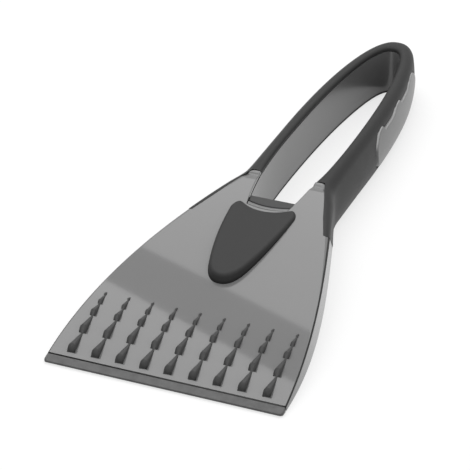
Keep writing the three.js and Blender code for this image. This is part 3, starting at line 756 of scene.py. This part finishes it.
def make_row(x, number):
    """A row of wedge teeth. Each is a ramp of superellipse sections that rises and widens from a neck to a
    front that leans back a little, and the next, lower tooth starts at its neck."""
    sections = []
    front = BLADE_DEPTH + FIT + ROW_SETBACK
    angle = np.linspace(0, math.pi, 17)[None, :]
    across = np.sign(np.cos(angle)) * np.abs(np.cos(angle)) ** (2 / TOOTH_ROUND)
    lift = np.abs(np.sin(angle)) ** (2 / TOOTH_ROUND)
    t = np.linspace(0, 1, 14)[:, None]
    for tooth, length in enumerate(TOOTH_LENGTHS):
        share = 1 - (tooth / len(TOOTH_LENGTHS)) ** TOOTH_FALL
        height = mix(TOOTH_HEIGHT * share, NECK_HEIGHT, t) * lift
        half = mix(TOOTH_WIDTH * share, NECK_WIDTH, t ** TOOTH_WAIST) / 2
        y = front + length * t + TOOTH_LEAN * height * (1 - t)
        dome = stack(x + half * across, y, arch(y) + height)
        foot = dome[:, [-1, 0]] - np.array([0, 0, TOOTH_SEAT])
        sections.append(np.concatenate([dome, foot, dome[:, :1]], 1))
        front += length
    row = np.concatenate(sections)
    node = f"ice_breaker_row_{number}"
    return piece(f"tooth_row_{number}", [row], TOOTH_DARK, [node], crease=TOOTH_CREASE)


# Thumb pad

def pad_outline(grow):
    """Plan outline of the pad, from the middle of its nose round the right: four cubic curves for the nose,
    the flank, the back corner and the hollowed back edge, moved outwards by grow and mirrored."""
    half, nose = PAD_WIDTH / 2, NOSE_WIDTH / 2
    nose_y = PAD_FRONT + NOSE_LENGTH
    reach = NOSE_LENGTH * QUARTER
    tip_x, tip_y = half - HORN_WIDTH, PAD_BACK + PAD_HORN
    flank_y = tip_y - HORN_LENGTH
    third = (flank_y - nose_y) / 3
    round_x, round_y = HORN_WIDTH * QUARTER, HORN_LENGTH * QUARTER
    curves = [
        [(0, PAD_FRONT), (nose * QUARTER, PAD_FRONT),
         (nose - FLANK_SPREAD * reach, nose_y - reach), (nose, nose_y)],
        [(nose, nose_y), (nose + FLANK_SPREAD * third, nose_y + third),
         (half - HORN_SPREAD * third, flank_y - third), (half, flank_y)],
        [(half, flank_y), (half, flank_y + round_y), (tip_x + round_x, tip_y), (tip_x, tip_y)],
        [(tip_x, tip_y), (tip_x - round_x, tip_y), (PAD_HOLLOW, PAD_BACK), (0, PAD_BACK)],
    ]
    right = np.concatenate([bezier(c, 22)[:-1] for c in curves] + [[(0, PAD_BACK)]])
    outline = np.concatenate([right, (right * [-1, 1])[-2:0:-1]])
    along = np.roll(outline, -1, 0) - np.roll(outline, 1, 0)
    along /= np.linalg.norm(along, axis=1, keepdims=True)
    return outline + grow * np.stack([along[:, 1], -along[:, 0]], 1)


def pad_height(y):
    """Height of the pad over the plate, falling evenly towards the handle."""
    return mix(PAD_FRONT_HEIGHT, PAD_BACK_HEIGHT, (y - PAD_FRONT) / (PAD_BACK - PAD_FRONT))


def over_plate(outline, lift):
    """Ring over a plan outline, lifted from the plate."""
    x, y = outline.T
    return stack(x, y, arch(y) + lift)


def make_pad():
    """Soft pad: outlines stacked from a seat in the plate up a skirt that spreads at its foot and has painted
    shadow there, over a quarter-round rim, then drawn in to its middle line over a top that falls evenly."""
    rings = [over_plate(pad_outline(-PAD_TUCK), -PAD_SEAT)]
    flare = PAD_FLARE * np.maximum(pad_height(pad_outline(0.0)[:, 1:]) - PAD_ROUND, 0)
    for t in np.linspace(0, 1, 7)[:-1]:
        outline = pad_outline(flare * (1 - t) ** FLARE_POWER)
        rings.append(over_plate(outline, t * (pad_height(outline[:, 1]) - PAD_ROUND)))
    for angle in np.linspace(0, math.pi / 2, 9):
        outline = pad_outline(-PAD_ROUND * (1 - math.cos(angle)))
        rings.append(over_plate(outline, pad_height(outline[:, 1]) - PAD_ROUND * (1 - math.sin(angle))))
    rim = pad_outline(-PAD_ROUND)
    spine_y = np.clip(rim[:, 1], PAD_FRONT + SPINE_FRONT, PAD_BACK - SPINE_BACK)
    spine = np.stack([np.zeros(spine_y.shape), spine_y], 1)
    for t in np.linspace(0, 1, 14)[1:]:
        outline = mix(rim, spine, t)
        rings.append(over_plate(outline, pad_height(outline[:, 1])))
    grid = np.stack(rings)
    grid = np.concatenate([grid, grid[:, :1]], 1)
    # Painted shadow up the foot of the skirt
    foot = np.zeros(grid.shape[:2])
    foot[:len(PAD_FOOT_SHADOW)] = np.array(PAD_FOOT_SHADOW)[:, None]
    pad = piece("thumb_rest", [with_painted_light(grid, foot), cap(grid[0])], SOFT_DARK, ["thumb_pad"])
    return pad


# Core and bridge

CORE_TOP = HANDLE_HEIGHT - CORE_DROP
CORE_FRONT = PLATE_BACK + CORE_LIP_SEAM
BRIDGE_FRONT = CORE_FRONT + BRIDGE_LIP
BRIDGE_TOP = float(arch(PLATE_BACK)) - BRIDGE_SINK
BRIDGE_SEAT = BRIDGE_TOP - BRIDGE_THICKNESS


def loop_line(offset, front, corner):
    """Right half of the gap's outline, grown by offset: straight front, a corner rounded by a parabola, the
    side and the back end."""
    corner = max(corner, SHARP_CORNER)
    edge = float(gap_half(front, offset))
    turn = front + corner
    straight = np.stack([np.linspace(0, edge - corner, 8), np.full(8, front)], 1)
    a = np.array([edge - corner, front])
    b = np.array([edge, front])
    c = np.array([float(gap_half(turn, offset)), turn])
    t = np.linspace(0, 1, 10)[1:, None]
    bend = a * (1 - t) ** 2 + 2 * b * t * (1 - t) + c * t ** 2
    y = np.linspace(turn, LOOP_CENTRE, 50)[1:]
    flank = np.stack([gap_half(y, offset), y], 1)
    end = np.stack(inner_end(np.linspace(0, math.pi / 2, 60)[1:], offset), 1)
    return np.concatenate([straight, bend, flank, end])


def bridge_front(across):
    """Front edge of the bridge over its width from -1 to 1: bowed towards the blade by a square."""
    return BRIDGE_FRONT + BRIDGE_BOW * across ** 2


def core_top(y):
    """Height of the core's ring: level inside the grip, following the arch under the prongs, and no higher
    than the bridge's seat at the front."""
    under_prong = arch(np.minimum(y, PRONG_END)) - PRONG_ROOF - PRONG_SEAM
    ring = np.where(y > PRONG_END + FIT, CORE_TOP, under_prong)
    return np.where(y < LOOP_FRONT + LOOP_CORNER, np.minimum(ring, BRIDGE_SEAT), ring)


def core_wall(line, lifts):
    """Upright wall over a plan line: rows at the lifts from its foot, then evenly up to the ring's top."""
    x, y = line.T
    low = tail_rise(y) + np.array(lifts)[:, None]
    high = mix(low[-1], core_top(y), np.linspace(0, 1, 8)[1:, None])
    return stack(x, y, np.concatenate([low, high]))


def core_lip():
    """Lip between the plate and the bridge: a level strip from one bowed edge to the other, rounded along
    both by quarter circles, with a painted shade line along its front at the seam."""
    across = np.linspace(-1, 1, 31)[None, :]
    front, back = plate_back(across) + CORE_LIP_SEAM, bridge_front(across)
    y = mix(front, back, spread(0, 1, 14)[:, None])
    front_drop = round_drop(y - front, CORE_LIP_FRONT_ROUND)
    back_drop = round_drop(back - y, CORE_LIP_BACK_ROUND)
    z = float(arch(CORE_FRONT)) - FIT - np.maximum(front_drop, back_drop)
    lip = stack(across * (gap_half(y) - FIT), y, z)
    foot = lip.copy()
    foot[..., 2] = BRIDGE_SEAT - CORE_LIP_SINK
    front_side, *other_sides = skirt(lip, foot)
    # Painted shade along the lip's front and on its face in the seam
    return [with_painted_light(lip, y - front < CORE_LIP_SHADE_LINE), foot, with_painted_light(front_side, 1.0)] + other_sides


def make_core():
    """Hard ring round the gap: an upright wall between two outlines of the loop, closed over and under, with
    a lip at its front. Painted shadow darkens it along its foot, painted shade under the prongs, and its
    inner wall is painted a shade darker."""
    lifts = (0.0, FOOT_SHADOW_HEIGHT, FOOT_SHADOW_HEIGHT + FOOT_SHADOW_FADE)
    inside = core_wall(loop_line(0.0, LOOP_FRONT, LOOP_CORNER), lifts)
    outside = core_wall(loop_line(CORE_WALL, CORE_FRONT, 0.0), (0.0,))
    # Painted shadow along the foot of the inner wall, and a painted shade on the rest of it
    foot_shadow = np.full(inside.shape[:2], PAINTED_WALL_SHADE)
    foot_shadow[:2] = 1.0
    over = np.stack([inside[-1], outside[-1]])
    below = np.stack([inside[0], outside[0]])
    # The core's top is painted dark as shade where it sits under the prongs
    half = [with_painted_light(inside, foot_shadow), outside, with_painted_light(over, over[..., 1] < PRONG_END), below]
    grids = half + [mirrored(grid) for grid in half] + core_lip()
    return piece("loop_core", grids, GLOSS_GREY, ["handle_core"])


def make_bridge():
    """Dark strip at the front of the gap: a level top with rounded edges, a bowed front and upright sides."""
    across = spread(-1, 1, 61)[None, :]
    front, back = bridge_front(across) + FIT, LOOP_FRONT - BRIDGE_CLEAR
    y = mix(front, back, spread(0, 1, 25)[:, None])
    half = gap_half(y) - FIT
    near = np.minimum(np.minimum((1 - np.abs(across)) * half, y - front), back - y)
    top = stack(across * half, y, BRIDGE_TOP - round_drop(near, BRIDGE_ROUND))
    bottom = top.copy()
    bottom[..., 2] = BRIDGE_SEAT
    grids = [top, bottom] + skirt(top, bottom)
    return piece("bridge_strip", grids, BRIDGE_DARK, ["loop_bridge"])


# Finger panels

PANEL_BACK = LENGTH - PANEL_SETBACK
LAST_POINT = PANEL_BACK - PANEL_TAIL
PANEL_FRONT = LAST_POINT - SCOOPS * PANEL_PITCH - FIRST_POINT


def panel_edges(y):
    """Lower and upper edge of a panel. The upper one falls steeply behind each point, runs level and rises
    softly to the next; the tail runs down; the front is a superellipse quarter on each side of PANEL_MIDDLE,
    and the back a quarter circle."""
    way = np.mod(y - LAST_POINT, PANEL_PITCH) / PANEL_PITCH
    scoop = smooth(way / POINT_FALL) * (1 - smooth((way - SCOOP_RISE) / RISE_RUN))
    scooped = PANEL_HIGH + SCALLOP * (1 - scoop)
    tail = mix(PANEL_HIGH + SCALLOP, PANEL_LOW + PANEL_CORNER, smooth((y - LAST_POINT) / PANEL_TAIL))
    upper = np.where(y < LAST_POINT, scooped, tail)
    back = np.clip((PANEL_BACK - y) / PANEL_CORNER, 0, 1)
    back = np.sqrt(1 - (1 - back) ** 2)
    front = np.clip(1 - (y - PANEL_FRONT) / FIRST_POINT, 0, 1)
    upper_end = (1 - front ** TIP_UPPER_POWER) ** (1 / TIP_UPPER_POWER) * back
    lower_end = (1 - front ** TIP_LOWER_POWER) ** (1 / TIP_LOWER_POWER) * back
    middle = np.minimum(PANEL_MIDDLE, (PANEL_LOW + upper) / 2)
    middle = np.where(y < LAST_POINT, PANEL_MIDDLE, middle)
    return mix(middle - TIP_HALF, PANEL_LOW, lower_end), mix(middle + TIP_HALF, upper, upper_end)


def tuck(z, shoulder):
    """How far the grip's outer face draws in from its widest line, by the square of the height from there."""
    low = BASE_TUCK * (1 - z / BULGE_HEIGHT) ** 2
    high = SHOULDER_TUCK * ((z - BULGE_HEIGHT) / (shoulder - BULGE_HEIGHT)) ** 2
    return np.where(z < BULGE_HEIGHT, low, high)


def arm_place(y):
    """Inner and outer line of the right arm behind the loop's widest place, where the outer one is at y."""
    share = np.clip((y - LOOP_CENTRE) / (LENGTH - LOOP_CENTRE), 0, 1)
    angle = np.arcsin(share ** (OUTER_POWER / 2))
    return np.stack(inner_end(angle), -1), np.stack(outer_end(angle), -1)


def make_panel(name, hand, node):
    """Scalloped panel: the arm's outer face between the panel's edges, standing proud with a rounded border
    that carries a paler painted highlight along the top."""
    y = spread(PANEL_FRONT, PANEL_BACK, 260)
    low, high = (edge[:, None] for edge in panel_edges(y))
    z = mix(low, high, spread(0, 1, 40)[None, :])
    inner, outer = arm_place(y)
    run = np.linalg.norm(outer - inner, axis=1)[:, None]
    ends = np.minimum(y - PANEL_FRONT, PANEL_BACK - y)[:, None]
    near = np.minimum(np.minimum(z - low, high - z), ends)
    lift = PANEL_PROUD - round_drop(near, PANEL_ROUND) * (PANEL_PROUD + GROOVE_DEPTH) / PANEL_ROUND
    face = run - tuck(z, HANDLE_HEIGHT - SHOULDER_DROP)

    def at(u):
        flat = inner[:, None, :] + (outer - inner)[:, None, :] * (u / run)[..., None]
        return stack(hand * flat[..., 0], flat[..., 1], z)

    front, back = at(face + lift), at(face - PANEL_DEPTH)
    # Painted highlight on the upper border, standing for the light it catches
    painted_highlight = (1 - smooth(near / PANEL_ROUND)) * smooth((z - PANEL_MIDDLE) / HIGHLIGHT_RUN)
    grids = [with_painted_light(front, painted_highlight), back] + skirt(front, back)
    return piece(name, grids, PANEL_GREY, [node], crease=PANEL_CREASE)


# Grip

def cheek_half(y):
    """Half-width of the cheeks: the larger of the shell's side and the handle's width, the corner rounded
    by a hyperbola."""
    apart = side(y) - HANDLE_WIDTH / 2
    return HANDLE_WIDTH / 2 + (apart + np.hypot(apart, CHEEK_BLEND)) / 2


def grip_section(width, y):
    """Sizes of the grip's section over its width: how swollen it is, the shoulder, the place and height of
    its crown, and the lean of its face at the shoulder."""
    swollen = swell(y)
    radius = edge_round(np.minimum(y, PRONG_END))
    plate = np.minimum(arch(np.minimum(y, PRONG_END + PLATE_REACH)), HANDLE_HEIGHT)
    shoulder = mix(plate - radius, HANDLE_HEIGHT - SHOULDER_DROP, swollen)
    crown_u = mix(width - radius, width * CROWN_SHARE, swollen)
    crown_z = mix(plate, HANDLE_HEIGHT, swollen)
    lean = swollen * 2 * SHOULDER_TUCK / (shoulder - BULGE_HEIGHT)
    return swollen, shoulder, crown_u, crown_z, lean


def rim_curve(t, top_u, shoulder, crown_u, crown_z, lean):
    """Rim of the grip: a cubic curve from the shoulder, along the leaning face, to the level crown."""
    corner = top_u - lean * (crown_z - shoulder)
    u = cubic(t, top_u, mix(top_u, corner, QUARTER), mix(crown_u, corner, QUARTER), crown_u)
    z = cubic(t, shoulder, mix(shoulder, crown_z, QUARTER), crown_z, crown_z)
    return u, z


def cheek_rings(stations, substitutions=40, halvings=24):
    """Rings of the right cheek, from its slanted front edge to the prong's end. Each point's y is found by
    repeated substitution, because the front edge is given by height and the section by y. The rim ends at
    the cheek's lip, found on its curve by halving, and drops into the shell there."""
    end = PRONG_END + FIT
    share = np.linspace(0, 1, stations)[:, None]
    face_t = np.linspace(0, 1, FACE)[None, :]
    rim_t = np.linspace(0, 1, RIM + 1)[None, 1:]
    y = np.full((stations, FACE + RIM), end)
    for _ in range(substitutions):
        inner = gap_half(np.maximum(y, LOOP_FRONT))
        width = cheek_half(y) - inner
        swollen, shoulder, crown_u, crown_z, lean = grip_section(width, y)
        z_face = shoulder[:, :FACE] * face_t
        u_face = width[:, :FACE] - swollen[:, :FACE] * tuck(z_face, shoulder[:, :FACE])
        rim = [a[:, FACE:] for a in (width - swollen * SHOULDER_TUCK, shoulder, crown_u, crown_z, lean)]
        lip = (side(y) - cheek_lip(y) - inner)[:, FACE:]
        low, high = np.zeros(lip.shape), np.ones(lip.shape)
        for _ in range(halvings):
            middle = (low + high) / 2
            beyond = rim_curve(middle, *rim)[0] < lip
            low, high = np.where(beyond, low, middle), np.where(beyond, middle, high)
        u_rim, z_rim = rim_curve(high * rim_t, *rim)
        u = np.concatenate([u_face, u_rim], 1)
        z = np.concatenate([z_face, z_rim], 1)
        y = mix(cheek_front(z), end, share)
    turn = np.concatenate([np.zeros(z_face.shape), high * rim_t * math.pi / 2], 1)
    out = stack(np.cos(turn), 0.0, np.sin(turn))
    outside = stack(inner + u, y, z)
    proud = outside + out * (CHEEK_PROUD * (1 - swell(y)))[..., None]
    outside = np.concatenate([(outside - out * CHEEK_SUNK)[:1], proud])
    edge = outside[:, -1:]
    drop = edge - np.array([0, 0, 1]) * np.linspace(0, ROOF, TOP + 1)[None, 1:, None]
    foot = outside[:, :1]
    corner = foot - np.array([WALL, 0.0, 0.0])
    return np.concatenate([outside, drop, corner, corner, foot], 1)


def panel_recess(y, z):
    """Depth of the recess under a panel and of the groove round it: full inside the outline, then rising to
    nothing over the groove's width with the distance from the outline."""
    along = np.linspace(PANEL_FRONT, PANEL_BACK, 400)
    low, high = panel_edges(along)
    ends = np.linspace(0, 1, 12)
    outline = np.concatenate([
        np.stack([along, low], 1),
        np.stack([along, high], 1),
        np.stack([np.full(ends.shape, PANEL_FRONT), mix(low[0], high[0], ends)], 1),
        np.stack([np.full(ends.shape, PANEL_BACK), mix(low[-1], high[-1], ends)], 1),
    ])
    apart = np.hypot(y[..., None] - outline[:, 0], z[..., None] - outline[:, 1]).min(-1)
    low, high = panel_edges(np.clip(y, PANEL_FRONT, PANEL_BACK))
    inside = (y > PANEL_FRONT) & (y < PANEL_BACK) & (z > low) & (z < high)
    return GROOVE_DEPTH * np.where(inside, 1.0, 1 - smooth(apart / GROOVE_WIDTH))


def arm_lines():
    """Inner and outer line of the right arm: along the loop's front half, along the panel by y, and round the
    back end by angle to the middle."""
    recess_start, recess_end = PANEL_FRONT - RECESS_LEAD, PANEL_BACK - RECESS_STOP
    front = np.linspace(PRONG_END + FIT, LOOP_CENTRE, 34)
    between = np.linspace(LOOP_CENTRE, recess_start, 14)[1:-1]
    beside = np.concatenate([between, np.linspace(recess_start, recess_end, 210)])
    start = math.asin(((recess_end - LOOP_CENTRE) / (LENGTH - LOOP_CENTRE)) ** (OUTER_POWER / 2))
    turn = np.linspace(start, math.pi / 2, 40)[1:]
    inner_beside, outer_beside = arm_place(beside)
    inner_front = np.stack([gap_half(front), front], 1)
    outer_front = np.stack([cheek_half(front), front], 1)
    inner = np.concatenate([inner_front, inner_beside, np.stack(inner_end(turn), 1)])
    outer = np.concatenate([outer_front, outer_beside, np.stack(outer_end(turn), 1)])
    return inner, outer


def arm_rings():
    """Rings of the right arm from the prong's end to the middle of the loop's back: the section between the
    inner and the outer line, with the panel's recess let into its face."""
    inner, outer = arm_lines()
    width = np.linalg.norm(outer - inner, axis=1)[:, None]
    y = outer[:, 1:]
    swollen, shoulder, crown_u, crown_z, lean = grip_section(width, y)
    foot = tail_rise(y)
    z_face = mix(foot, shoulder, np.linspace(0, 1, FACE)[None, :])
    u_face = width - swollen * tuck(z_face, shoulder)
    u_face = u_face - panel_recess(np.broadcast_to(y, z_face.shape), z_face)
    rim_t = np.linspace(0, 1, RIM + 1)[None, 1:]
    u_rim, z_rim = rim_curve(rim_t, width - swollen * SHOULDER_TUCK, shoulder, crown_u, crown_z, lean)
    turn = np.linspace(0, math.pi / 2, TOP)[None, 1:]
    u_in = crown_u * (1 - np.sin(turn))
    z_in = crown_z - INNER_DROP * swollen * (1 - np.cos(turn))
    loop_side = np.zeros(width.shape)
    hidden = np.full(width.shape, CORE_WALL + FIT)
    ledge = np.full(width.shape, CORE_TOP + FIT)
    u = np.concatenate([u_face, u_rim, u_in, loop_side, hidden, hidden, u_face[:, :1]], 1)
    z = np.concatenate([z_face, z_rim, z_in, ledge, ledge, foot, foot], 1)
    flat = inner[:, None, :] + (outer - inner)[:, None, :] * (u / width)[..., None]
    return stack(flat[..., 0], flat[..., 1], z)


def make_grip():
    """Soft grip: cheek rings, then arm rings, on the right and mirrored on the left."""
    rings = np.concatenate([cheek_rings(stations=60), arm_rings()])
    return piece("soft_grip", [rings, mirrored(rings)], SOFT_DARK, ["handle_grip"])


make_shell()
make_blade()
row_pitch = (BLADE_WIDTH - 2 * ROW_MARGIN) / (ROWS - 1)
for number in range(ROWS):
    make_row((number - (ROWS - 1) / 2) * row_pitch, number + 1)
make_pad()
make_core()
make_bridge()
make_grip()
make_panel("panel_right", 1, "finger_grip_right")
make_panel("panel_left", -1, "finger_grip_left")


# Stage, light and camera

def make_floor():
    """White floor that keeps its shadows; to the camera and in reflections it also glows a little."""
    mesh = bpy.data.meshes.new("floor")
    corners = [(x * FLOOR_SIZE, y * FLOOR_SIZE, -FLOOR_DROP) for x, y in ((-1, -1), (1, -1), (1, 1), (-1, 1))]
    mesh.from_pydata(corners, [], [(0, 1, 2, 3)])
    material = bpy.data.materials.new("floor_white")
    material.use_nodes = True
    tree = material.node_tree
    tree.nodes.clear()
    rays = tree.nodes.new("ShaderNodeLightPath").outputs

    def combine(operation, a, b):
        return add_node(tree, "ShaderNodeMath", "Value", {0: a, 1: b}, operation=operation)

    reflected = combine("MAXIMUM", rays["Is Glossy Ray"], rays["Is Transmission Ray"])
    seen = combine("MAXIMUM", rays["Is Camera Ray"], reflected)
    lift = combine("MULTIPLY", seen, FLOOR_LIFT)
    glow = add_node(tree, "ShaderNodeEmission", "Emission", {"Strength": lift})
    diffuse = add_node(tree, "ShaderNodeBsdfDiffuse", "BSDF", {"Color": grey_colour(FLOOR_GREY)})
    both = add_node(tree, "ShaderNodeAddShader", "Shader", {0: diffuse, 1: glow})
    out = tree.nodes.new("ShaderNodeOutputMaterial")
    tree.links.new(both, out.inputs["Surface"])
    mesh.materials.append(material)
    floor = put("floor", mesh)


def softbox(name, along, past, radiance):
    """A level softbox between two places along and two past its run."""
    run = np.array([math.cos(SOFTBOX_RUN), math.sin(SOFTBOX_RUN)])
    cross = np.array([-math.sin(SOFTBOX_RUN), math.cos(SOFTBOX_RUN)])
    middle = run * (along[0] + along[1]) / 2 + cross * (past[0] + past[1]) / 2
    lamp = bpy.data.lights.new(name, "AREA")
    lamp.shape = "RECTANGLE"
    lamp.size = (along[1] - along[0]) * MM
    lamp.size_y = (past[1] - past[0]) * MM
    lamp.energy = radiance * math.pi * lamp.size * lamp.size_y
    thing = put(name, lamp)
    thing.location = place(np.append(middle, SOFTBOX_LIFT))
    thing.rotation_euler = (0, 0, SOFTBOX_RUN)


def soft_sun(name, source, strength, breadth):
    """A lamp far away in the direction source, broad by an angle in degrees and left out of reflections."""
    lamp = bpy.data.lights.new(name, "SUN")
    lamp.energy = strength
    lamp.angle = math.radians(breadth)
    thing = put(name, lamp)
    thing.rotation_euler = Vector(source).to_track_quat("Z", "Y").to_euler()
    thing.visible_glossy = False


def make_light():
    """Two softboxes with a darker gap between them, a key and a fill, and a plain surround that is a little
    darker at the horizon."""
    softbox("front_softbox", along=(-1300, 500), past=(-300, 198), radiance=1.6)
    softbox("back_softbox", along=(-1400, 150), past=(309, 1250), radiance=1.2)
    soft_sun("key", source=(-0.42, 0.5, 0.9), strength=0.35, breadth=28.0)
    soft_sun("fill", source=(0.6, -0.75, 0.6), strength=0.5, breadth=110.0)
    world = bpy.context.scene.world or bpy.data.worlds.new("surround")
    bpy.context.scene.world = world
    world.use_nodes = True
    tree = world.node_tree
    way = add_node(tree, "ShaderNodeTexCoord", "Generated")
    rise = add_node(tree, "ShaderNodeSeparateXYZ", "Z", {"Vector": way})
    step = {"Value": rise, "From Min": SURROUND_START, "From Max": SURROUND_END,
            "To Min": SURROUND_LOW, "To Max": SURROUND_HIGH}
    dome = add_node(tree, "ShaderNodeMapRange", "Result", step, interpolation_type="SMOOTHSTEP")
    ground = tree.nodes["Background"]
    ground.inputs["Color"].default_value = grey_colour(1.0)
    tree.links.new(dome, ground.inputs["Strength"])


def make_camera():
    """The photograph's viewpoint: placed from the scraping edge and turned by azimuth and elevation."""
    a, e = math.radians(EYE_AZIMUTH), math.radians(EYE_ELEVATION)
    back = Vector((math.sin(a) * math.cos(e), -math.cos(a) * math.cos(e), math.sin(e)))
    right = Vector((math.cos(a), math.sin(a), 0))
    up = back.cross(right)
    lens = bpy.data.cameras.new("camera")
    lens.lens = LENS
    lens.sensor_width = SENSOR
    lens.sensor_fit = "HORIZONTAL"
    lens.clip_start = NEAREST
    lens.clip_end = FARTHEST
    camera = put("camera", lens)
    turn = Matrix((right, up, back)).transposed().to_4x4()
    camera.matrix_world = Matrix.Translation(Vector(place(np.array(EYE)))) @ turn
    bpy.context.scene.camera = camera


make_floor()
make_light()
make_camera()
bpy.context.scene.view_settings.view_transform = "Standard"
